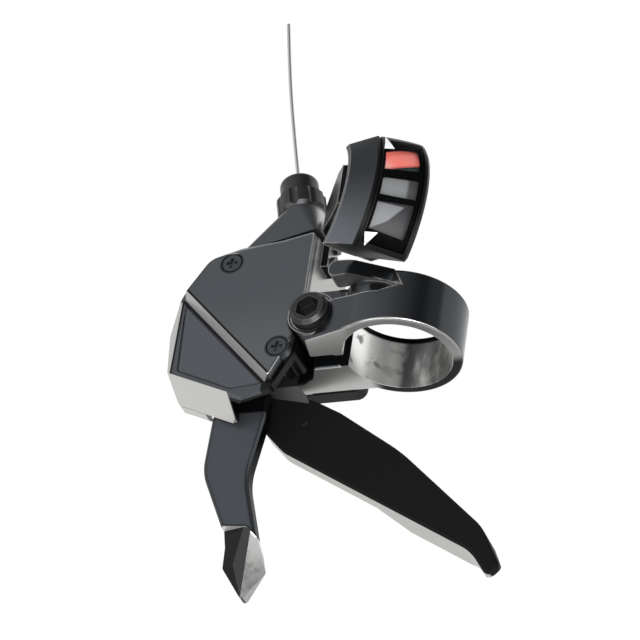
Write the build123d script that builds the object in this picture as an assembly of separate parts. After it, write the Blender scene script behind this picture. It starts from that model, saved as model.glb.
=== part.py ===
# Trigger gear shifter for a flat handlebar, left hand. Sizes in millimetres and degrees.
# Origin at the centre of the clamp bore, +X along the bar towards the cable exit,
# +Y forward to the casing, +Z along the lever pivot.
import os
from math import cos, radians, sin, tan

from build123d import *

# Fits
RUNNING_FIT = 0.05       # radial play of a part that turns on a pin
SEAT_FIT = 0.02          # radial play of a part fixed on a pin or in a hole
PLATE_GAP = 0.3          # play between stacked plates
CASING_GAP = 0.25        # gap between casing pieces and what they go round
BAR_ROOM = 0.5           # radial room of the display round the bar
CUT_SIZE = 200.0         # side of a block that cuts everything past a plane

# Handlebar clamp
BAR_D = 22.2
BAND_WALL = 2.1
BAND_W = 12.0
SPLIT_TOP = 2.3
SPLIT_GAP = 3.8
BOLT_OFFSET = 4.9        # bolt axis beyond the bore
BOSS_R = 5.0
BOSS_TOP_Z = 9.3
LUG_OVERHANG = 2.2       # lug end beyond the bolt axis
LUG_SHOULDER_Z = 8.4
BAND_EDGE = 0.6
RAIL_TOP_Z = 13.0        # rail beside the upper lug, under the display
RAIL_T = 4.2
RAIL_X1 = 9.8
RAIL_Y1 = 12.0
POCKET_DEPTH = 0.9       # pocket between the rail and the lug
POCKET_FLOOR_Z = 8.0

# Clamp bolt
BOLT_R = 2.5
BOLT_HEAD_R = 4.0
BOLT_HEAD_H = 5.0
BOLT_SEAT_DEPTH = 2.6
BOLT_LENGTH = 16.5
BOLT_SOCKET_AF = 4.6
BOLT_SOCKET_DEPTH = 2.6
BOLT_EDGE = 0.7

# Bracket arm and base plate
BASE_TOP_Z = -6.8
BASE_T = 3.7
STOP_TAB_DROP = 3.6
STOP_TAB_T = 2.2

# Cable line and drum
CABLE_Z = 1.5
CABLE_ANGLE = 14.0
CABLE_D = 0.8
NECK_X = 30.3
NECK_Y = 24.9
AXLE_X = 12.0
DRUM_R = 6.5             # cable centre line on the drum
DRUM_LIP = 0.7
DRUM_T = 4.0
GROOVE_W = 1.6
GROOVE_PLAY = 0.15
WOUND_ANGLE = 95.0
NIPPLE_R = 1.3
NIPPLE_H = 2.6
RATCHET_T = 1.5
RATCHET_R = 7.0
TOOTH_DEPTH = 1.0
TOOTH_COUNT = 12
NOTCH_PLATE_T = 1.0
NOTCH_PLATE_R = 7.0
NOTCH_R = 0.9

# Main axle
AXLE_R = 2.5
AXLE_HEAD_R = 4.0
AXLE_HEAD_H = 1.4
BUSHING_WALL = 0.9
WASHER_R = 4.4
WASHER_T = 0.5
CLIP_R = 4.2
CLIP_T = 0.6
CLIP_GROOVE = 0.4

# Thumb lever
THUMB_REACH = 71.5       # from the foot of the lever to its tip
THUMB_HEEL = 14.0        # from the foot to the moulding's start, under the casing
THUMB_STROKE = 30.0
THUMB_PLATE_T = 1.8
THUMB_HUB_R = 6.5
THUMB_DROP = 4.2         # step of the plate down to the moulded lever
THUMB_DIRECTION = 218.5
THUMB_FOOT = (11.0, 27.57)
THUMB_FALL = 0.28
THUMB_TOP_AT_AXLE = -2.5
THUMB_T = 3.7
THUMB_PAD_T = 7.4
FEED_PIN_ANGLE = 190.0
FEED_PIN_ORBIT = 9.8
FEED_PIN_R = 0.9
FEED_SHOULDER_R = 1.5
FEED_PAWL_T = 1.2
FEED_PAWL_HUB_R = 1.7

# Broken top edges of both levers
LEVER_EDGE = 0.5

# Trigger
TRIGGER_REACH = 50.0     # from the pin to the tip
TRIGGER_HEEL = 8.3       # from the pin to the moulding's start, inside the casing
TRIGGER_PIN_X = -3.0
TRIGGER_PIN_Y = 40.5
TRIGGER_PIN_R = 1.6
TRIGGER_PIN_HEAD_R = 2.5
TRIGGER_PIN_HEAD_H = 0.5
TRIGGER_BOSS_R = 2.7
TRIGGER_HUB_R = 4.0
TRIGGER_PLATE_T = 1.2
TRIGGER_DIRECTION = 182.9
TRIGGER_FALL = 0.25
TRIGGER_TOP_AT_PIN = 1.05
TRIGGER_T = 2.8
TRIGGER_ROOT = 4.0
TRIGGER_RIM_X = -13.0    # where the broken edges start, outside the casing
TIP_STEP = 0.35          # tip insert below the top of the trigger
TRIGGER_TAB = (2.5, 37.5)
TRIGGER_TAB_W = 2.0
TRIGGER_TAB_T = 1.6

# Stop pawl
PAWL_PIN_X = 10.5
PAWL_PIN_Y = 40.2
PAWL_PIN_R = 1.2
PAWL_SHOULDER_R = 2.0
PAWL_HUB_R = 2.2
PAWL_T = 0.9
PAWL_ARM_W = 2.6
PAWL_NOSE_ANGLE = 125.0  # where the nose meets the notch plate, about the axle
PAWL_NOSE_GAP = 0.2
PAWL_HEEL = 1.4          # rise of the tail's underside towards the pin

# Springs
SPRING_WIRE = 0.5
SPRING_TURN = 1.0
SPRING_BORE = 0.6       # inner radius of the big spring beyond the axle
SPRING_H = 1.3
PAWL_SPRING_H = 0.9
FINE_SPRING_WIRE = 0.45
FINE_SPRING_TURN = 0.7
SPRING_PLAY = 0.2

# Casing
PARTING_Z = -1.0
DECK_Z = 6.0
COVER_T = 2.0
WALL = 1.3
FLARE = 3.0              # outward run of the outboard wall down to the parting line
SKIRT_Z = -3.4
SKIRT_FOOT_Z = -7.8
DECK_T = 1.0
COVER_LEDGE = 1.7
COVER_SKIN = 1.4
COVER_EDGE = 0.3
BEVEL_RUN = 1.3
PANEL_T = 0.5
PANEL_PLAY = 0.12
FLOOR_T = 1.2
LEVER_OPENING_X = -2.0
LEVER_OPENING_Y1 = 40.7
LEVER_OPENING_DEPTH = 20.0
MOUTH_X = -7.5           # upper part of the lever opening
MOUTH_Y = 33.0
MOUTH_LIP = 0.8
LEVER_SWEEP_Y = 44.7     # where the opening ends below the trigger, for the full stroke
SCREW_R = 1.1
SCREW_HEAD_R = 2.05
SCREW_HEAD_H = 1.0
SCREW_LENGTH = 6.0
SCREW_BOSS_R = 1.9
CROSS_W = 0.7
CROSS_L = 2.4
BOTTOM_DEPTH = 4.0
BOTTOM_EDGE = 1.0
PAN_SCREW_R = 1.0
PAN_SCREW_HEAD_R = 1.7
PAN_SCREW_HEAD_H = 1.1

# Cable neck and adjuster barrel
NECK_R = 4.9
NECK_LENGTH = 8.8
NECK_ROOT_LEFT = 12.5    # root section about the cable line: forward, back, up
NECK_ROOT_RIGHT = 4.6
NECK_ROOT_UP = 6.1
NECK_ROOT_EDGE = 1.2
STEM_R = 3.0
STEM_LENGTH = 7.5
KNOB_GAP = 0.3
KNOB_R = 5.2
KNOB_LENGTH = 5.4
KNOB_LOBES = 8
SCALLOP_R = 1.3
SCALLOP_DEPTH = 0.45
NOSE_R = 4.1
NOSE_LENGTH = 4.3
CASING_SEAT_R = 2.55
CASING_SEAT_DEPTH = 5.5
WIRE_BORE_R = 0.9

# Display pod, an arch about an axis tilted towards the rider
POD_X = 21.8
POD_STANDOFF = 0.45      # arch axis beyond the bore
POD_BEARING = 48.2       # where the arch axis stands round the bar
POD_TILT = 44.0
POD_R = 19.0
POD_SWEEP = 75.0
POD_TOP_END = (36.0, 29.0, 50.0)        # angles of an end face at the back edge, ridge and front edge
POD_LOW_END = (-63.0, -51.5, -50.5)
POD_FRONT = -5.9
POD_RIDGE = 5.85
POD_BACK = 9.9
POD_BACK_R = 14.5
POD_FRONT_IN_R = 15.0
POD_EDGE = 0.7
POD_BACK_IN_R = 13.3
POD_IN_R = 12.5
POD_SEAM_W = 0.45
POD_SEAM_DEPTH = 0.45
CHANNEL_HALF = 4.6
CHANNEL_ENDS = ((-48.0, -47.0), (26.5, 43.0))   # angles at the back and front edge of the channel
END_PLAY = 0.5
LENS_T = 0.6
BEZEL_T = 0.7
NEEDLE_T = 0.6
DIAL_T = 0.6
NEEDLE_PLAY = 0.3
WINDOW_HALF = 3.9
WINDOWS = (
    ((1.3, 10.8), (18.0, 40.5)), ((-16.6, -11.8), (-3.6, 3.9)), ((-39.0, -39.2), (-20.6, -14.8)),
)
NEEDLE_ENDS = ((3.9, 21.3), (21.0, 41.5))
NEEDLE_EDGE = 0.4        # needle beyond the window on each side
ARM_X0 = 16.0
ARM_X1 = 28.3
ARM_FLANGE_T = 1.6
ARM_FLANGE_TOP_Z = 3.4
POD_SCREW_R = 0.8
POD_SCREW_HEAD_R = 1.5
POD_SCREW_HEAD_H = 1.0
POD_SCREW_LENGTH = 2.4
POD_SCREW_Z = 1.2
POD_SCREW_XS = (17.9, 22.0)

# Cable outside the barrel: bends of the route as (distance along, sideways)
TAIL_ROUTE = ((0.0, 0.0), (14.5, -0.3), (31.0, -1.0), (45.5, -2.2))

# Derived values
BORE_R = BAR_D / 2
BAND_R = BORE_R + BAND_WALL
SPLIT_BOTTOM = SPLIT_TOP - SPLIT_GAP
BOLT_Y = BORE_R + BOLT_OFFSET
LUG_END_Y = BOLT_Y + LUG_OVERHANG
BASE_Z = BASE_TOP_Z - BASE_T
COVER_Z = DECK_Z + COVER_T
CABLE_R = CABLE_D / 2
CABLE_TRAVEL = DRUM_R * radians(THUMB_STROKE)
AXLE_Y = NECK_Y - (NECK_X - AXLE_X) * tan(radians(CABLE_ANGLE)) + DRUM_R / cos(radians(CABLE_ANGLE))
AXLE = (AXLE_X, AXLE_Y)
DRUM_Z = CABLE_Z - DRUM_T / 2
DRUM_TOP_Z = CABLE_Z + DRUM_T / 2
RATCHET_Z = DRUM_Z - RATCHET_T
NOTCH_TOP_Z = DRUM_TOP_Z + NOTCH_PLATE_T
THUMB_Z = BASE_TOP_Z + PLATE_GAP
THUMB_TOP_Z = THUMB_Z + THUMB_PLATE_T
TRIGGER_Z = THUMB_TOP_Z + PLATE_GAP
TRIGGER_TOP_Z = TRIGGER_Z + TRIGGER_PLATE_T
TRIGGER_PIN = (TRIGGER_PIN_X, TRIGGER_PIN_Y)
PAWL_PIN = (PAWL_PIN_X, PAWL_PIN_Y)
WASHER_Z = NOTCH_TOP_Z + PLATE_GAP / 2
CLIP_Z = WASHER_Z + WASHER_T
AXLE_TOP_Z = CLIP_Z + CLIP_T
FLANGE_R = DRUM_R + DRUM_LIP
GROOVE_FLOOR_R = DRUM_R - CABLE_R - GROOVE_PLAY
BUSHING_R = AXLE_R + RUNNING_FIT + BUSHING_WALL
SIDE_Y = 18.5            # casing wall beside the clamp
COVER_SCREWS = ((-6.4, 23.0), (15.8, 36.2))
BOTTOM_SCREWS = ((1.0, 23.2), (4.5, 40.0))

LOW = (Align.CENTER, Align.CENTER, Align.MIN)
HIGH = (Align.CENTER, Align.CENTER, Align.MAX)

# Frame of the cable line: Z along the cable, out of the neck mouth
CABLE_DIR = Vector(cos(radians(CABLE_ANGLE)), sin(radians(CABLE_ANGLE)), 0)
CABLE_SIDE = Vector(-sin(radians(CABLE_ANGLE)), cos(radians(CABLE_ANGLE)), 0)
NECK_FRAME = Plane(origin=(NECK_X, NECK_Y, CABLE_Z), x_dir=CABLE_SIDE, z_dir=CABLE_DIR)
CABLE_FOOT = Vector(AXLE_X, AXLE_Y, CABLE_Z) - CABLE_SIDE * DRUM_R
CABLE_RUN = -NECK_FRAME.to_local_coords(CABLE_FOOT).Z

# Frame of the display arch
POD_AXIS_R = BORE_R + POD_STANDOFF
POD_CENTRE_Y = POD_AXIS_R * cos(radians(POD_BEARING))
POD_CENTRE_Z = POD_AXIS_R * sin(radians(POD_BEARING))
POD_CENTRE = Vector(POD_X, POD_CENTRE_Y, POD_CENTRE_Z)
POD_AXIS = Vector(0, cos(radians(POD_TILT)), sin(radians(POD_TILT)))
POD_NORMAL = Vector(0, -sin(radians(POD_TILT)), cos(radians(POD_TILT)))
POD_SIDE = Vector(1, 0, 0)
BEZEL_OUT_R = POD_R - LENS_T
NEEDLE_OUT_R = BEZEL_OUT_R - BEZEL_T - NEEDLE_PLAY
DIAL_OUT_R = NEEDLE_OUT_R - NEEDLE_T - NEEDLE_PLAY
CHANNEL_R = DIAL_OUT_R - DIAL_T

# Plan outlines, corners as (x, y, corner radius)
FLARE_A = (-9.2, 46.7)
FLARE_B = (-15.2, 33.0)
HOUSING_CORNERS = (
    (22.5, SIDE_Y, 1.0), (21.2, 25.6, 4.0), (20.3, 34.5, 6.0), (18.2, 42.0, 4.0), (9.6, 47.2, 6.0),
    (0.0, 48.2, 8.0), (-12.4, 47.0, 1.2), (-18.0, 34.2, 1.0), (-15.0, 24.0, 1.5), (-6.6, 19.8, 1.5),
    (5.8, SIDE_Y, 0.0),
)
BEVEL_A = (8.9, 46.2)
BEVEL_B = (-13.5, 25.3)
COVER_CORNERS = (
    (*BEVEL_A, 0.0), (17.4, 41.2, 4.0), (19.4, 34.3, 6.0), (20.3, 25.6, 4.0), (21.8, SIDE_Y, 0.8),
    (5.8, SIDE_Y, 0.0), (-5.2, 20.4, 1.0), (-13.0, 23.9, 0.8), (*BEVEL_B, 0.0),
)
PANEL_CORNERS = ((8.0, 46.1, 0.4), (-8.8, 45.3, 0.8), (-14.5, 32.8, 0.8), (-13.8, 25.8, 0.4))
BASE_CORNERS = (
    (-BAND_W / 2, 22.0, 0.0), (-BAND_W / 2, 30.4, 0.8), (-1.5, 37.5, 3.0), (5.0, 43.5, 2.5),
    (13.0, 43.5, 2.5), (18.0, 37.0, 4.0), (18.3, 22.5, 2.0), (BAND_W / 2, 21.0, 0.0),
)
BOTTOM_CORNERS = (
    (-6.2, 11.4, 2.0), (4.5, 10.8, 3.5), (18.0, 22.0, 4.0), (18.0, 36.5, 4.0), (12.0, 43.0, 2.5),
    (3.0, 43.0, 2.5), (-3.2, 36.0, 3.0), (-3.2, 26.0, 1.0), (-6.2, 25.0, 1.0),
)
THUMB_PLATE_CORNERS = (
    (6.0, 23.8, 0.0), (-6.6, 23.8, 1.0), (-9.0, 21.5, 1.0), (-14.5, 21.5, 1.0), (-14.5, 28.5, 1.0),
    (-6.6, 30.4, 2.0), (6.0, 33.0, 0.0),
)
TRIGGER_PLATE_CORNERS = (
    (-3.0, 44.3, 3.0), (-15.0, 37.4, 1.0), (-15.4, 30.2, 1.0), (-8.0, 32.0, 3.0), (0.8, 38.5, 2.0),
)
RAIL_CORNERS = (
    (2.4, -4.3, 0.0), (4.75, 3.7, 8.0), (6.2, 7.6, 4.0), (5.8, RAIL_Y1, 1.6), (RAIL_X1, RAIL_Y1, 1.6),
    (9.6, 7.2, 8.0), (6.0, -2.4, 0.0),
)
POCKET_CORNERS = (
    (2.2, -3.4, 0.0), (5.4, 3.7, 0.0), (6.8, 7.6, 0.0), (6.8, BOLT_Y, 0.0),
    (2.2, BOLT_Y, 0.0), (2.2, 10.5, 0.0), (1.0, 0.4, 0.0),
)

# Lever outlines, corners as (share of the way from heel to tip, sideways, corner radius)
THUMB_OUTLINE = (
    (-0.04, 13.0, 0.0), (0.0823, 19.0, 3.5), (0.1942, 18.3, 6.0), (0.8819, 0.4, 8.0),
    (1.0, 1.1, 1.5), (0.9826, -2.5, 1.8), (0.8334, -4.4, 9.0), (0.4417, -0.7, 30.0),
    (0.198, 4.2, 5.0), (0.1072, 6.8, 2.5),
)
TRIGGER_OUTLINE = (
    (0.0, -1.7, 0.0), (0.1175, -0.1, 4.0), (0.3633, 1.9, 9.0), (0.6439, -2.3, 0.0),
    (0.6595, -7.8, 0.0), (0.7086, -9.8, 0.0), (0.4185, -7.8, 12.0), (0.1271, -11.8, 6.0),
    (0.0, -12.5, 0.0),
)
TIP_OUTLINE = (
    (0.6439, -2.3, 0.0), (0.7338, -2.7, 2.0), (0.8381, -2.3, 1.2), (1.0144, -6.7, 0.8),
    (0.8633, -11.1, 1.0), (0.7746, -10.5, 3.0), (0.7086, -9.8, 0.0), (0.6595, -7.8, 0.0),
)

# Facets of the trigger's tip, each through three points of (share of the way, sideways, depth)
TIP_FACETS = (
    ((0.6882, -8.6, 0.0), (1.0216, -6.3, 0.0), (0.8633, -11.1, 2.3)),
    ((0.6619, -7.1, 0.0), (0.8369, -4.9, 0.0), (0.8381, -2.3, 0.9)),
    ((0.8369, -4.9, 0.0), (1.0168, -6.6, 0.0), (0.8381, -2.3, 0.9)),
)

# Underside of the thumb lever, as (share of the way from heel to tip, depth below its top)
THUMB_PROFILE = (
    (-0.0694, 0.0), (1.1492, 0.0), (1.0, 0.8), (0.9304, 4.4), (0.852, THUMB_PAD_T),
    (0.627, THUMB_PAD_T), (0.5213, THUMB_T), (0.1395, THUMB_T), (-0.0694, 5.4),
)


def outline(corners):
    """Closed plan outline from corners of (x, y, radius)."""
    points = [(x, y) for x, y, _ in corners]
    radii = [radius for _, _, radius in corners]
    return make_face(FilletPolyline(*points, radius=radii, close=True))


def slab(face, low, high):
    """Plate of a plan outline between two heights."""
    return Pos(0, 0, low) * extrude(face, high - low, dir=(0, 0, 1))


def rod(centre, radius, low, high):
    """Upright cylinder between two heights."""
    return Pos(centre[0], centre[1], low) * Cylinder(radius, high - low, align=LOW)


def ring(centre, outer, inner, low, high):
    """Upright ring between two heights."""
    return rod(centre, outer, low, high) - rod(centre, inner, low, high)


def polar(centre, radius, angle):
    """Plan point at a radius and an angle about a centre."""
    return (centre[0] + radius * cos(radians(angle)), centre[1] + radius * sin(radians(angle)))


def along(foot, direction, distance, side):
    """Plan point at a distance along a lever and sideways from it."""
    return polar(polar(foot, distance, direction), side, direction - 90)


def thumb_distance(share):
    """Distance from the thumb lever's foot at a share of the way from heel to tip."""
    return THUMB_HEEL + share * (THUMB_REACH - THUMB_HEEL)


def trigger_distance(share):
    """Distance from the trigger's pin at a share of the way from heel to tip."""
    return TRIGGER_HEEL + share * (TRIGGER_REACH - TRIGGER_HEEL)


def lever_outline(foot, direction, distance, stations):
    """Plan outline of a lever from corners of (share of the way, sideways, radius)."""
    corners = []
    for share, side, radius in stations:
        corners.append((*along(foot, direction, distance(share), side), radius))
    return outline(corners)


def beyond(first, second, third, towards):
    """Everything past the plane through three points, on the side that a direction points to."""
    normal = (second - first).cross(third - first)
    if normal.dot(towards) < 0:
        normal = -normal
    return Plane(origin=first, z_dir=normal) * Box(CUT_SIZE, CUT_SIZE, CUT_SIZE, align=LOW)


def top_edges(solid):
    """Edges of the largest flat face that looks up."""
    flats = solid.faces().filter_by(GeomType.PLANE)
    upward = flats.filter_by(lambda face: face.normal_at(face.center()).Z > 0.9)
    return upward.sort_by(SortBy.AREA)[-1].edges()


def side_solid(direction, foot, profile, reach):
    """Side profile of (distance along, height) drawn in an upright plane and swept sideways."""
    run = (cos(radians(direction)), sin(radians(direction)), 0)
    across = (sin(radians(direction)), -cos(radians(direction)), 0)
    plane = Plane(origin=(foot[0], foot[1], 0), x_dir=run, z_dir=across)
    return extrude(plane * make_face(Polyline(*profile, close=True)), reach, both=True)


def spiral_spring(centre, inner, turn, wire, turns, low, high):
    """Flat spiral spring made of half turns that grow by half a turn's pitch."""
    spring = None
    offset = 0.0
    for half in range(2 * turns):
        radius = inner + wire / 2 + half * turn / 2
        side = 1 if half % 2 == 0 else -1
        band = Circle(radius + wire / 2) - Circle(radius - wire / 2)
        keep = Pos(0, side * radius) * Rectangle(4 * radius, 2 * radius)
        piece = Pos(offset, 0) * (band & keep)
        spring = piece if spring is None else spring + piece
        offset += side * turn / 2
    return slab(Pos(centre[0], centre[1]) * spring, low, high)


def arch_point(angle, offset_along, radius):
    """Point of the display arch at an angle, an offset along its axis and a radius."""
    outward = POD_NORMAL * cos(radians(angle)) + POD_SIDE * sin(radians(angle))
    return POD_CENTRE + POD_AXIS * offset_along + outward * radius


def arch(profile):
    """Profile of (offset along the axis, radius) swept round the display arch."""
    start = arch_point(-POD_SWEEP, 0, 1) - POD_CENTRE
    plane = Plane(origin=POD_CENTRE, x_dir=POD_AXIS, z_dir=POD_AXIS.cross(start))
    face = plane * make_face(Polyline(*profile, close=True))
    return revolve(face, Axis(POD_CENTRE, POD_AXIS), 2 * POD_SWEEP)


def line_cut(angles, side):
    """Everything past a line across the display, given by its angles at the channel's back and front."""
    back = arch_point(angles[0], CHANNEL_HALF, POD_R)
    front = arch_point(angles[1], -CHANNEL_HALF, POD_R)
    inside = arch_point((angles[0] + angles[1]) / 2, 0, POD_R / 2)
    return beyond(back, front, inside, POD_SIDE * side)


def strip(half, low, high, ends, play):
    """Curved strip of the display between two radii, its slanted ends drawn in by a play."""
    band = arch(((-half, low), (half, low), (half, high), (-half, high)))
    first, last = ends
    band -= line_cut([angle + play for angle in first], -1)
    return band - line_cut([angle - play for angle in last], 1)


def lower_lug_face(grow):
    """Section of the lower lug and arm, grown on its free side by a clearance."""
    corners = (
        (4.0, SPLIT_BOTTOM + grow, 0.0), (LUG_END_Y + 0.5 + grow, SPLIT_BOTTOM + grow, 0.6),
        (LUG_END_Y + 2.1 + grow, -5.0 + grow, 2.0), (LUG_END_Y + 5.3 + grow, BASE_TOP_Z + grow, 2.0),
        (28.4, BASE_TOP_Z + grow, 0.0), (28.4, BASE_Z, 0.0), (6.0, BASE_Z, 0.0),
    )
    return Plane.YZ * outline(corners)


def clamp_bracket():
    """Forged clamp band with its lugs, arm and base plate."""
    upper_lug = Plane.YZ * outline((
        (4.0, SPLIT_TOP, 0.0), (LUG_END_Y, SPLIT_TOP, 0.6), (LUG_END_Y - 0.9, LUG_SHOULDER_Z, 0.8),
        (BAND_R * sin(radians(27)), BAND_R * cos(radians(27)), 0.0),
    ))
    section = Plane.YZ * Circle(BAND_R) + upper_lug + lower_lug_face(0.0)
    bracket = extrude(section, BAND_W / 2, both=True)
    sides = bracket.edges().group_by(Axis.X)
    bracket = fillet(sides[0] + sides[-1], BAND_EDGE)
    pocket = slab(outline(POCKET_CORNERS), POCKET_FLOOR_Z, RAIL_TOP_Z + BAND_WALL)
    bracket -= pocket - Plane.YZ * Cylinder(BAND_R - POCKET_DEPTH, 2 * BAND_W)
    rail = slab(outline(RAIL_CORNERS), RAIL_TOP_Z - RAIL_T, RAIL_TOP_Z)
    bracket += rail - Plane.YZ * Cylinder(BORE_R + BAR_ROOM, 2 * BAND_W)
    bracket += rod((0, BOLT_Y), BOSS_R, SPLIT_TOP, BOSS_TOP_Z)
    bracket += slab(outline(BASE_CORNERS), BASE_Z, BASE_TOP_Z)
    bracket -= Plane.YZ * Cylinder(BORE_R, 2 * BAND_W)
    split = Box(2 * BAND_W, 2 * BOLT_OFFSET + 10, SPLIT_GAP)
    bracket -= Pos(0, LUG_END_Y, (SPLIT_TOP + SPLIT_BOTTOM) / 2) * split
    tab_z = BASE_Z - STOP_TAB_DROP
    tab = Plane.YZ * make_face(Polyline(
        (26.8, BASE_Z), (30.4, BASE_Z), (28.4, tab_z), (26.8, tab_z), close=True))
    bracket += Pos(-BAND_W / 2, 0, 0) * extrude(tab, STOP_TAB_T, dir=(1, 0, 0))
    seat_z = BOSS_TOP_Z - BOLT_SEAT_DEPTH
    bracket -= rod((0, BOLT_Y), BOLT_HEAD_R + CASING_GAP, seat_z, COVER_Z + BOLT_HEAD_H)
    bracket -= rod((0, BOLT_Y), BOLT_R + SEAT_FIT, BASE_Z, seat_z)
    spring_out = AXLE_R + SPRING_BORE + 2.8 * SPRING_TURN
    bracket -= ring(AXLE, spring_out, AXLE_R + SPRING_PLAY, BASE_TOP_Z - SPRING_H - PLATE_GAP / 2, BASE_TOP_Z)
    bracket -= rod(AXLE, AXLE_R + SEAT_FIT, BASE_Z, BASE_TOP_Z)
    bracket -= rod(PAWL_PIN, PAWL_PIN_R + SEAT_FIT, BASE_Z, BASE_TOP_Z)
    for place in BOTTOM_SCREWS:
        bracket -= rod(place, PAN_SCREW_R + SEAT_FIT, BASE_Z, BASE_TOP_Z)
    return bracket


def clamp_bolt():
    """Cap screw with a hex socket."""
    seat_z = BOSS_TOP_Z - BOLT_SEAT_DEPTH
    head = rod((0, BOLT_Y), BOLT_HEAD_R, seat_z, seat_z + BOLT_HEAD_H)
    head = chamfer(head.edges().group_by(Axis.Z)[-1], BOLT_EDGE)
    bolt = head + rod((0, BOLT_Y), BOLT_R, seat_z - BOLT_LENGTH, seat_z)
    socket = RegularPolygon(BOLT_SOCKET_AF / 2, 6, major_radius=False)
    bolt -= slab(Pos(0, BOLT_Y) * socket, seat_z + BOLT_HEAD_H - BOLT_SOCKET_DEPTH, seat_z + BOLT_HEAD_H)
    return bolt


def boss_room(grow):
    """Space that the casing leaves for the clamp boss and the upper lug."""
    room = rod((0, BOLT_Y), BOSS_R + grow, BASE_Z, COVER_Z + BOLT_HEAD_H)
    lug_y = LUG_END_Y + grow
    lug = Box(BAND_W + 2 * grow, 20, 40, align=(Align.CENTER, Align.MAX, Align.CENTER))
    return room + Pos(0, lug_y, 0) * lug


def neck_form(grow):
    """Neck that tapers from the casing to a round mouth on the cable line."""
    width = NECK_ROOT_LEFT + NECK_ROOT_RIGHT + 2 * grow
    height = NECK_ROOT_UP + NECK_R + 2 * grow
    middle = Pos((NECK_ROOT_LEFT - NECK_ROOT_RIGHT) / 2, (NECK_ROOT_UP - NECK_R) / 2, -NECK_LENGTH)
    root = middle * RectangleRounded(width, height, NECK_ROOT_EDGE)
    side = 2 * (NECK_R + grow)
    mouth = RectangleRounded(side, side, 0.49 * side)
    return NECK_FRAME * loft([root, mouth], ruled=True)


def inner_face():
    """Plan of the space inside the casing walls."""
    return offset(outline(HOUSING_CORNERS), -WALL)


def upper_housing():
    """Upper casing: wall, deck, cable neck and the bosses inside it."""
    shell = slab(outline(HOUSING_CORNERS), PARTING_Z, DECK_Z) - flare_cut(0.0)
    shell += neck_form(0.0)
    shell -= boss_room(CASING_GAP)
    cavity = slab(inner_face(), BASE_Z, DECK_Z - DECK_T) - flare_cut(WALL)
    opening = slab(offset(outline(COVER_CORNERS), -COVER_LEDGE), DECK_Z - DECK_T, DECK_Z + COVER_T)
    cavity += opening
    cavity -= boss_room(CASING_GAP + WALL)
    for place in COVER_SCREWS:
        cavity -= rod(place, SCREW_BOSS_R, PARTING_Z, DECK_Z)
    for x in POD_SCREW_XS:
        boss = Cylinder(2 * POD_SCREW_R, POD_SCREW_LENGTH + PLATE_GAP, align=HIGH)
        cavity -= Plane(origin=(x, SIDE_Y, POD_SCREW_Z), z_dir=(0, -1, 0)) * boss
    cavity -= rod(TRIGGER_PIN, TRIGGER_BOSS_R, TRIGGER_TOP_Z + PLATE_GAP / 3, DECK_Z)
    shell -= cavity
    shell += rod(TRIGGER_PIN, TRIGGER_BOSS_R, TRIGGER_TOP_Z + PLATE_GAP / 3, DECK_Z - DECK_T)
    shell -= rod(TRIGGER_PIN, TRIGGER_PIN_R + SEAT_FIT, TRIGGER_Z, DECK_Z - DECK_T)
    for place in COVER_SCREWS:
        shell -= rod(place, SCREW_R + SEAT_FIT, COVER_Z - SCREW_LENGTH - PLATE_GAP, DECK_Z)
    for x in POD_SCREW_XS:
        hole = Cylinder(POD_SCREW_R + SEAT_FIT, POD_SCREW_LENGTH + PLATE_GAP / 2, align=HIGH)
        shell -= Plane(origin=(x, SIDE_Y, POD_SCREW_Z), z_dir=(0, -1, 0)) * hole
    shell -= NECK_FRAME * Cylinder(STEM_R + RUNNING_FIT, STEM_LENGTH + PLATE_GAP, align=HIGH)
    shell -= NECK_FRAME * Cylinder(WIRE_BORE_R, CABLE_RUN + CABLE_TRAVEL + CASING_GAP, align=HIGH)
    shell -= slab(outline(PANEL_CORNERS), DECK_Z - PANEL_T, DECK_Z)
    mouth_h = DECK_Z - DECK_T - MOUTH_LIP - PARTING_Z
    mouth = Box(LEVER_OPENING_DEPTH, MOUTH_Y, mouth_h, align=(Align.MAX, Align.MAX, Align.MIN))
    mouth = Pos(MOUTH_X, MOUTH_Y, PARTING_Z) * mouth
    return shell - (mouth - rod(COVER_SCREWS[0], SCREW_BOSS_R, PARTING_Z, DECK_Z))


def lower_housing():
    """Lower casing with a sloping floor and the opening that the levers come out of."""
    skirt = ((-30, SKIRT_Z), (0.0, SKIRT_Z), (2.0, SKIRT_FOOT_Z), (9.0, BASE_Z), (-30, BASE_Z))
    floor_cut = edge_cut(HOUSING_CORNERS[6][:2], HOUSING_CORNERS[7][:2], 0, skirt)
    body = slab(outline(HOUSING_CORNERS), BASE_Z, PARTING_Z) - floor_cut
    hollow = slab(inner_face(), BASE_Z + FLOOR_T, PARTING_Z) - Pos(0, 0, FLOOR_T) * floor_cut
    body -= hollow
    body -= boss_room(CASING_GAP)
    body -= extrude(lower_lug_face(CASING_GAP), BAND_W / 2 + CASING_GAP, both=True)
    body -= neck_form(CASING_GAP)
    body -= slab(offset(outline(BASE_CORNERS), CASING_GAP), BASE_Z, PARTING_Z)
    for end_y, top_z in ((LEVER_OPENING_Y1, PARTING_Z), (LEVER_SWEEP_Y, THUMB_Z)):
        opening = Box(LEVER_OPENING_DEPTH, end_y, -2 * BASE_Z, align=(Align.MAX, Align.MAX, Align.MAX))
        body -= Pos(LEVER_OPENING_X, end_y, top_z) * opening
    return body


def edge_cut(first, last, height, profile):
    """Prism along a plan edge, its profile given as (inwards, up) from the edge."""
    start = Vector(*first, height)
    run = Vector(*last, height) - start
    plane = Plane(origin=start, x_dir=Vector(0, 0, 1).cross(run), z_dir=run)
    return extrude(plane * make_face(Polyline(*profile, close=True)), 2 * run.length, both=True)


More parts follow.
